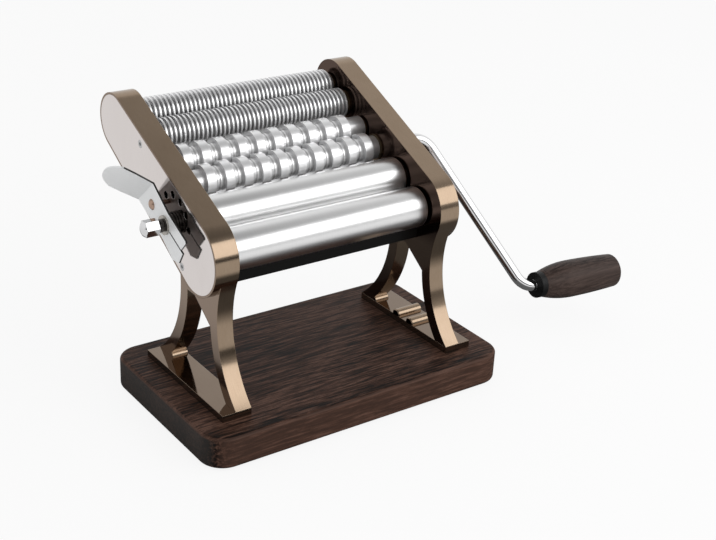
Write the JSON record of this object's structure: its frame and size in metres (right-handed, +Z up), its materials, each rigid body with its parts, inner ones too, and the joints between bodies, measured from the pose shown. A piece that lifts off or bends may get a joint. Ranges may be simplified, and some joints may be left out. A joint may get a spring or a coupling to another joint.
{
  "type": "pasta machine",
  "caption": "Hand cranked pasta machine on a wooden base, with geared sheeting rollers, two pairs of ring cutters, a thickness lever and a plug-in crank.",
  "frame": {"origin": "middle of the underside, on the table", "axes": "+X along the rollers towards the crank, +Y to the back where the row of rollers rises, +Z up"},
  "size_m": [0.3711, 0.1815, 0.1844],
  "materials": {
    "base_wood": "satin lacquer over dark streaked wood",
    "pad_rubber": "matt",
    "foot_bronze": "polished bronze anodising",
    "frame_bronze": "brushed bronze anodising",
    "cover_steel": "polished",
    "screw_steel": "plain zinc",
    "bush_bronze": "turned bronze",
    "rod_steel": "turned",
    "scraper_metal": "rolled sheet",
    "roller_metal": "fine turned satin",
    "cutter_metal": "turned satin",
    "gear_steel": "milled",
    "lever_steel": "satin nickel",
    "nut_chrome": "mirror chrome",
    "crank_chrome": "mirror chrome",
    "ferrule_black": "satin black",
    "grip_wood": "satin lacquer over dark wood"
  },
  "bodies": {
    "machine": {"wood_base": "base_wood", "base_pad": "pad_rubber", "left_foot_plate": "foot_bronze", "right_foot_plate": "foot_bronze", "foot_screws": "screw_steel", "left_frame": "frame_bronze", "right_frame": "frame_bronze", "left_cover": "cover_steel", "right_cover": "cover_steel", "cover_screws": "screw_steel", "left_bushes": "bush_bronze", "right_bushes": "bush_bronze", "lower_tie_rod": "rod_steel", "upper_tie_rod": "rod_steel", "tie_rod_screws": "screw_steel", "front_scraper": "scraper_metal", "rear_scraper": "scraper_metal"},
    "front_roller": {"front_smooth_roller": "roller_metal", "front_smooth_gear": "gear_steel"},
    "rear_carriage": {"rear_roller_sleeves": "bush_bronze"},
    "rear_roller": {"rear_smooth_roller": "roller_metal", "rear_smooth_gear": "gear_steel"},
    "drive": {"lower_wide_cutter": "cutter_metal", "lower_wide_gear": "gear_steel", "crank_rod": "crank_chrome", "cross_pin": "screw_steel", "grip_clip": "screw_steel"},
    "upper_wide": {"upper_wide_cutter": "cutter_metal", "upper_wide_gear": "gear_steel"},
    "lower_fine": {"lower_fine_cutter": "cutter_metal", "lower_fine_gear": "gear_steel"},
    "upper_fine": {"upper_fine_cutter": "cutter_metal", "upper_fine_gear": "gear_steel"},
    "regulator": {"regulator_shaft": "rod_steel", "regulator_spacer": "rod_steel", "regulator_lever": "lever_steel", "detent_pin": "bush_bronze", "regulator_washer": "rod_steel", "regulator_nut": "nut_chrome"},
    "grip": {"grip": "grip_wood", "grip_ferrule": "ferrule_black", "grip_plug": "grip_wood"}
  },
  "joints": [
    {"name": "front_roller_turn", "type": "hinge", "parent": "machine", "child": "front_roller", "pos_m": [0, -0.008, 0.1134], "axis": [1, 0, 0], "continuous": true},
    {"name": "crank_turn", "type": "hinge", "parent": "machine", "child": "drive", "pos_m": [0, 0.04212, 0.13839], "axis": [1, 0, 0], "continuous": true},
    {"name": "upper_wide_turn", "type": "hinge", "parent": "machine", "child": "upper_wide", "pos_m": [0, 0.05948, 0.14704], "axis": [1, 0, 0], "continuous": true},
    {"name": "lower_fine_turn", "type": "hinge", "parent": "machine", "child": "lower_fine", "pos_m": [0, 0.08149, 0.15802], "axis": [1, 0, 0], "continuous": true},
    {"name": "upper_fine_turn", "type": "hinge", "parent": "machine", "child": "upper_fine", "pos_m": [0, 0.09885, 0.16668], "axis": [1, 0, 0], "continuous": true},
    {"name": "regulator_turn", "type": "hinge", "parent": "machine", "child": "regulator", "pos_m": [0, 0.0173, 0.12631], "axis": [1, 0, 0], "range_deg": [0, 150]},
    {"name": "sleeve_turn", "type": "hinge", "parent": "regulator", "child": "rear_carriage", "pos_m": [0, 0.01652, 0.12563], "axis": [1, 0, 0], "range_deg": [-150, 0]},
    {"name": "rear_roller_turn", "type": "hinge", "parent": "rear_carriage", "child": "rear_roller", "pos_m": [0, 0.01652, 0.12563], "axis": [1, 0, 0], "continuous": true},
    {"name": "grip_spin", "type": "hinge", "parent": "drive", "child": "grip", "pos_m": [0.1755, -0.02189, 0.03715], "axis": [0.9978, -0.0354, -0.056], "continuous": true}
  ],
  "couplings": [
    {"joint": "rear_roller_turn", "follows": "front_roller_turn", "ratio": -1},
    {"joint": "upper_wide_turn", "follows": "crank_turn", "ratio": -1},
    {"joint": "upper_fine_turn", "follows": "lower_fine_turn", "ratio": -1},
    {"joint": "sleeve_turn", "follows": "regulator_turn", "ratio": -1}
  ]
}
